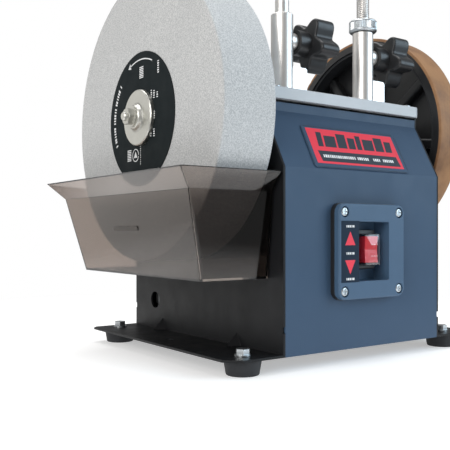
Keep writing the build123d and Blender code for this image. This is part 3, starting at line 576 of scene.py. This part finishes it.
# ---- tool rest legs and height nut ----------------------------------------------------------------
def legs():
    """Two legs; the right one is threaded above its sleeve for the height nut."""
    low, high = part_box("rest_legs")
    radius = (high.y - low.y) / 2
    y = (low.y + high.y) / 2
    top = middle("rest_bar").z
    sleeve_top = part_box("support_sleeves")[1].z
    threads_from = sleeve_top - 8 * MM
    chamfer = 1 * MM
    core = 0.5 * MM       # radius at which the end faces close
    turns = [2 * math.pi * i / 48 for i in range(48)]
    steel = materials["polished_steel"]
    for name, x, end in (("left_leg", low.x + radius, top), ("right_leg", high.x - radius, threads_from)):
        rings = []
        for reach, z in ((core, low.z), (radius - chamfer, low.z), (radius, low.z + chamfer), (radius, end),
                         (core, end)):
            rings.append([(x + reach * math.cos(t), y + reach * math.sin(t), z) for t in turns])
        points, faces = rings_joined(rings, closed=True)
        piece(name, points, faces, steel, "rest", ["rest_legs"])
    start = (high.x - radius, y, threads_from - 1 * MM)
    points, faces = threaded(start, (0, 0, 1), (1, 0, 0), top - threads_from, radius, pitch=1.75 * MM,
                             depth=0.7 * MM, segments=36)
    piece("leg_thread", points, faces, steel, "rest", ["rest_legs"])


legs()


def height_nut():
    """Round nut with straight knurling between two plain bevelled rims."""
    low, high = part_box("height_nut")
    centre = (low + high) / 2
    radius = (high.x - low.x) / 2
    bore = 6.05 * MM
    teeth = 60
    groove = 0.55 * MM
    bevel = 1.2 * MM
    land, runout = 1.8 * MM, 2.2 * MM      # where the plain rim ends and where the grooves are full
    levels = [(low.z, bore, 0), (low.z, radius - bevel, 0), (low.z + bevel, radius, 0),
              (low.z + land, radius, 0), (low.z + runout, radius, 1),
              (high.z - runout, radius, 1), (high.z - land, radius, 0),
              (high.z - bevel, radius, 0), (high.z, radius - bevel, 0), (high.z, bore, 0)]
    rings = []
    for z, reach, knurled in levels:
        ring = []
        for step in range(teeth * 2):
            angle = math.pi * step / teeth
            r = reach - (groove if knurled and step % 2 else 0.0)
            ring.append((centre.x + r * math.cos(angle), centre.y + r * math.sin(angle), z))
        rings.append(ring)
    points, faces = rings_joined(rings, closed=True)
    piece("knurled_nut", points, faces, materials["zinc_steel"], "adjuster", ["height_nut"])


height_nut()


# ---- honing leather -------------------------------------------------------------------------------
def leather_band():
    """Leather glued round the rim, with a slanting seam and rolled edges."""
    low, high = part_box("honing_leather")
    radius = (high.z - low.z) / 2
    leather_thickness = 3.0 * MM
    inner = radius - leather_thickness
    seam_depth = 0.5 * MM
    seam_slant = 4        # steps round the wheel from one edge to the other
    edge = 1.3 * MM
    width = high.x - low.x
    segments = 240
    seam_step = 30
    profile = [(0.0, inner), (0.0, radius - edge), (edge * 0.3, radius - edge * 0.3), (edge, radius)]
    profile += [(edge + (width - 2 * edge) * i / 6, radius) for i in range(1, 6)]
    profile += [(width - edge, radius), (width - edge * 0.3, radius - edge * 0.3), (width, radius - edge),
                (width, inner)]
    rings = []
    for along, reach in profile:
        ring = []
        for step in range(segments):
            angle = 2 * math.pi * (step + seam_slant * along / width) / segments
            sunk = seam_depth if step == seam_step and reach > radius - edge else 0.0
            r = reach - sunk
            y = shaft_point.y + r * math.sin(angle)
            z = shaft_point.z + r * math.cos(angle)
            ring.append((low.x + along, y, z))
        rings.append(ring)
    points, faces = rings_joined(rings, closed=True)
    piece("leather_band", points, faces, materials["honing_leather"], "spindle",
          ["honing_leather"])


leather_band()


# ---- level mark on the trough ---------------------------------------------------------------------
def level_mark():
    """Moulded bar on the outer wall that shows the highest water."""
    low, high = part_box("water_trough")
    rim_overhang = 29.0 * MM      # rim beyond the foot of the outer wall
    wall_out, wall_up = 15.0 * MM, 69.5 * MM      # how that wall runs from its foot to the bend
    share_of_height = 0.485
    half_straight, end_radius = 20, 2.1
    foot = Vector((low.x + rim_overhang, shaft_point.y, low.z))
    up = Vector((-wall_out, 0.0, wall_up)).normalized()
    origin = foot + up * ((high.z - low.z) * share_of_height)
    outline = [(x - half_straight, z) for x, z in (polar(end_radius, t) for t in range(90, 271, 30))]
    outline += [(x + half_straight, z) for x, z in (polar(end_radius, t) for t in range(-90, 91, 30))]
    marks("level_mark", [outline], origin, (0, -1, 0), up, materials["smoke_plastic"], "trough",
          0.7 * MM)


level_mark()


# ---- badge ----------------------------------------------------------------------------------------
def badge():
    """Plate in the slate paint, its blue partly a painted sheen, with a red field, plain slanted blocks and
    a dark strip of dashes. No lettering.
    """
    low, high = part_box("front_badge")
    up = Vector((0, math.sin(LEAN), math.cos(LEAN)))
    out = Vector((0, -math.cos(LEAN), math.sin(LEAN)))
    half_thick = 0.5 * MM
    half_width = (high.x - low.x) / 2 / MM
    half_height = ((high.z - low.z) - 2 * half_thick * math.sin(LEAN)) / math.cos(LEAN) / 2 / MM
    centre = (low + high) / 2
    right = (1, 0, 0)
    corner = 3.0
    outline = []
    for across, along, start in ((1, 1, 0), (-1, 1, 90), (-1, -1, 180), (1, -1, 270)):
        for x, z in (polar(corner, start + 15 * i) for i in range(7)):
            outline.append((across * (half_width - corner) + x, along * (half_height - corner) + z))
    plate = marks("badge_plate", [outline], centre, right, up, materials["slate_paint"], "frame",
                  half_thick)
    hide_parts("front_badge")
    face = centre + out * half_thick
    inset, line = 0.7, 0.5
    rim = [bar(0, side * (half_height - inset), 2 * (half_width - corner), line) for side in (-1, 1)]
    rim += [bar(side * (half_width - inset), 0, line, 2 * (half_height - corner)) for side in (-1, 1)]
    marks("badge_rim", rim, face, right, up, dark_ink, "frame")
    field = bar(-0.2, 0.8, width=105.6, height=35.0)
    marks("badge_field", [field], face, right, up, red_ink, "frame")
    blocks = []
    u = -45.0             # left end of the row of blocks
    gap = slant = 2.0
    strip_middle = -9.4
    for step in range(8):
        width = 6.0 + 2.4 * ((3 * step) % 4)
        height = 14.5 - 3.0 * (step % 2)
        blocks.append(bar(u + width / 2, 0.2 + height / 2, width, height, slant))
        u += width + gap
    blocks.append(bar(1.4, strip_middle, width=96.0, height=10.4, slant=-1.4))
    marks("badge_blocks", blocks, face + out * LAYER, right, up, dark_ink, "frame")
    dashes = []
    for start, count in ((-43.0, 16), (-3.0, 6), (16.5, 4), (29.0, 6)):
        dashes += row(start, strip_middle, count, pitch=2.4, height=2.8)
    marks("badge_dashes", dashes, face + out * 2 * LAYER, right, up, white_ink, "frame")


badge()


# ---- switch label and marks -----------------------------------------------------------------------
def switch_prints():
    """Dark strip with an arrow up, an arrow down and three rows of dashes."""
    low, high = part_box("switch_label")
    centre = (low + high) / 2
    origin = (centre.x, low.y, centre.z)
    right, up = (1, 0, 0), (0, 0, 1)
    size = (high - low) / MM
    marks("switch_strip", [bar(0, 0, size.x, size.z)], origin, right, up, navy_ink, "frame",
          LAYER / 2)
    half_base = 5.9
    arrows = []
    for base, tip in ((5.4, 16.8), (-7.0, -18.6)):
        arrows.append([(-half_base, base), (half_base, base), (0.0, tip)])
    marks("switch_arrows", arrows, origin, right, up, red_ink, "frame")
    dashes = []
    for v in (21.0, -1.4, -22.6):
        dashes += row(-3.9, v, count=5, pitch=1.95, height=1.9)
    marks("switch_dashes", dashes, origin, right, up, white_ink, "frame")


switch_prints()


# ---- rocker cover ---------------------------------------------------------------------------------
def rocker_hood():
    """Clear soft hood over the rocker with a domed front and an open back."""
    low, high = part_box("rocker_cover")
    centre = (low + high) / 2
    wall = 0.7 * MM
    dome = 1.4 * MM
    across = 12
    # share of the half width, then depth: 0 at the back, 1 where the dome starts, 2 at its top
    levels = [(1.0, 0.0), (1.0, 1.0), (0.97, 1.35), (0.88, 1.6), (0.6, 1.85), (0.25, 2.0), (0.02, 2.0)]
    rings = []
    for inset, order in ((0.0, 1), (wall, -1)):
        half_x = (high.x - low.x) / 2 - inset
        half_z = (high.z - low.z) / 2 - inset
        front = low.y + dome + inset
        for reach, depth in levels[::order]:
            y = high.y + (front - high.y) * min(depth, 1.0) - dome * max(depth - 1.0, 0.0)
            ring = []
            for i in range(4 * across):
                side, step = divmod(i, across)
                t = 2 * step / across - 1
                x, z = ((t, -1), (1, t), (-t, 1), (-1, -t))[side]
                ring.append((centre.x + x * half_x * reach, y, centre.z + z * half_z * reach))
            rings.append(ring)
    points, faces = rings_joined(rings, closed=True)
    piece("rocker_hood", points, faces, materials["clear_plastic"], "frame",
          ["rocker_cover"], 40)
    ticks = [bar(u, v, 1.3, 0.6, 0.3) for u in (-2.5, 0.8, 4.1) for v in (4.4, -5.6)]
    origin = (centre.x, low.y + 0.1 * MM, centre.z)
    marks("hood_ticks", ticks, origin, (1, 0, 0), (0, 0, 1), white_ink, "frame")


rocker_hood()


# ---- camera, light and floor ------------------------------------------------------------------------
def camera():
    """Long lens near the floor, left of the front corner, level and shifted up a little."""
    data = bpy.data.cameras.new("camera")
    data.lens = 56.33
    data.shift_y = 0.0147
    data.clip_start = 0.05
    data.clip_end = 50
    item = bpy.data.objects.new("camera", data)
    item.location = (-0.4415, -0.5441, 0.1116)
    item.rotation_euler = (math.radians(90), 0, math.radians(-35.54))
    bpy.context.scene.collection.objects.link(item)
    bpy.context.scene.camera = item


def area_light(name, place, target, size, power, color):
    """Rectangular soft light that faces the target."""
    data = bpy.data.lights.new(name, "AREA")
    data.shape = "RECTANGLE"
    data.size, data.size_y = size
    data.energy = power
    data.color = color
    item = bpy.data.objects.new(name, data)
    item.location = place
    item.rotation_euler = (Vector(target) - Vector(place)).to_track_quat("-Z", "Y").to_euler()
    bpy.context.scene.collection.objects.link(item)


def floor():
    """Pale round floor that fades into the white background."""
    reach = 2.4
    fade_from, fade_to = 0.36, 0.6
    steps = 64
    rim = [(reach * math.cos(2 * math.pi * i / steps), reach * math.sin(2 * math.pi * i / steps), 0)
           for i in range(steps)]
    mesh = bpy.data.meshes.new("floor")
    mesh.from_pydata(rim, [], [tuple(range(steps))])
    s = Shader("floor_paint")
    s.set(Specular_IOR_Level=0.1, Emission_Color=(1.0, 1.0, 1.0, 1.0), Emission_Strength=0.42)
    base = s.mix(s.noise(3, 2), (0.80, 0.80, 0.80), (0.83, 0.83, 0.83))
    s.finish(base, s.remap(s.noise(5), 0, 1, 0.85, 0.95))
    length = s.add("ShaderNodeVectorMath", operation="LENGTH")
    s.link(s.place, length.inputs[0])
    fade = s.remap(length.outputs["Value"], fade_from, fade_to, 0.0, 1.0)
    clear = s.add("ShaderNodeBsdfTransparent")
    mixed = s.add("ShaderNodeMixShader")
    s.link(fade, mixed.inputs["Fac"])
    s.link(s.bsdf.outputs["BSDF"], mixed.inputs[1])
    s.link(clear.outputs["BSDF"], mixed.inputs[2])
    s.link(mixed.outputs["Shader"], s.output.inputs["Surface"])
    mesh.materials.append(s.material)
    item = bpy.data.objects.new("floor", mesh)
    bpy.context.scene.collection.objects.link(item)


def world(seen, cast):
    """White where it is seen, straight or through clear plastic; a dimmer grey once light has bounced."""
    cast_through_plastic = cast * 0.2
    sky = bpy.data.worlds.new("studio")
    sky.use_nodes = True
    tree = sky.node_tree
    background = tree.nodes["Background"]
    rays = tree.nodes.new("ShaderNodeLightPath")
    straight = tree.nodes.new("ShaderNodeMath")
    straight.operation = "MAXIMUM"
    tree.links.new(rays.outputs["Is Camera Ray"], straight.inputs[0])
    tree.links.new(rays.outputs["Is Transmission Ray"], straight.inputs[1])
    bounced = straight.outputs[0]
    for depth in ("Diffuse Depth", "Glossy Depth"):
        less = tree.nodes.new("ShaderNodeMath")
        less.operation = "SUBTRACT"
        tree.links.new(bounced, less.inputs[0])
        tree.links.new(rays.outputs[depth], less.inputs[1])
        bounced = less.outputs[0]
    strength = tree.nodes.new("ShaderNodeMapRange")
    tree.links.new(bounced, strength.inputs["Value"])
    strength.inputs["To Max"].default_value = seen
    through = tree.nodes.new("ShaderNodeMapRange")
    tree.links.new(rays.outputs["Is Transmission Ray"], through.inputs["Value"])
    through.inputs["To Min"].default_value = cast
    through.inputs["To Max"].default_value = cast_through_plastic
    tree.links.new(through.outputs["Result"], strength.inputs["To Min"])
    background.inputs["Color"].default_value = (1.0, 1.0, 1.0, 1.0)
    tree.links.new(strength.outputs["Result"], background.inputs["Strength"])
    bpy.context.scene.world = sky


camera()
floor()
world(seen=1.0, cast=0.28)
target = (cad_low + cad_high) / 2
area_light("front_soft", (1.15, -1.35, 0.75), target, (1.3, 1.3), 19, (0.68, 0.86, 1.0))
area_light("left_soft", (-1.7, -0.75, 0.8), target, (1.0, 1.0), 17, (1.0, 0.985, 0.96))
area_light("back_soft", (-1.0, 1.35, 0.45), target, (1.6, 1.6), 4.5, (1.0, 0.99, 0.95))
area_light("top_soft", (0.0, 0.3, 1.9), target, (1.6, 1.6), 30, (1.0, 1.0, 1.0))
bpy.context.scene.view_settings.view_transform = "Standard"
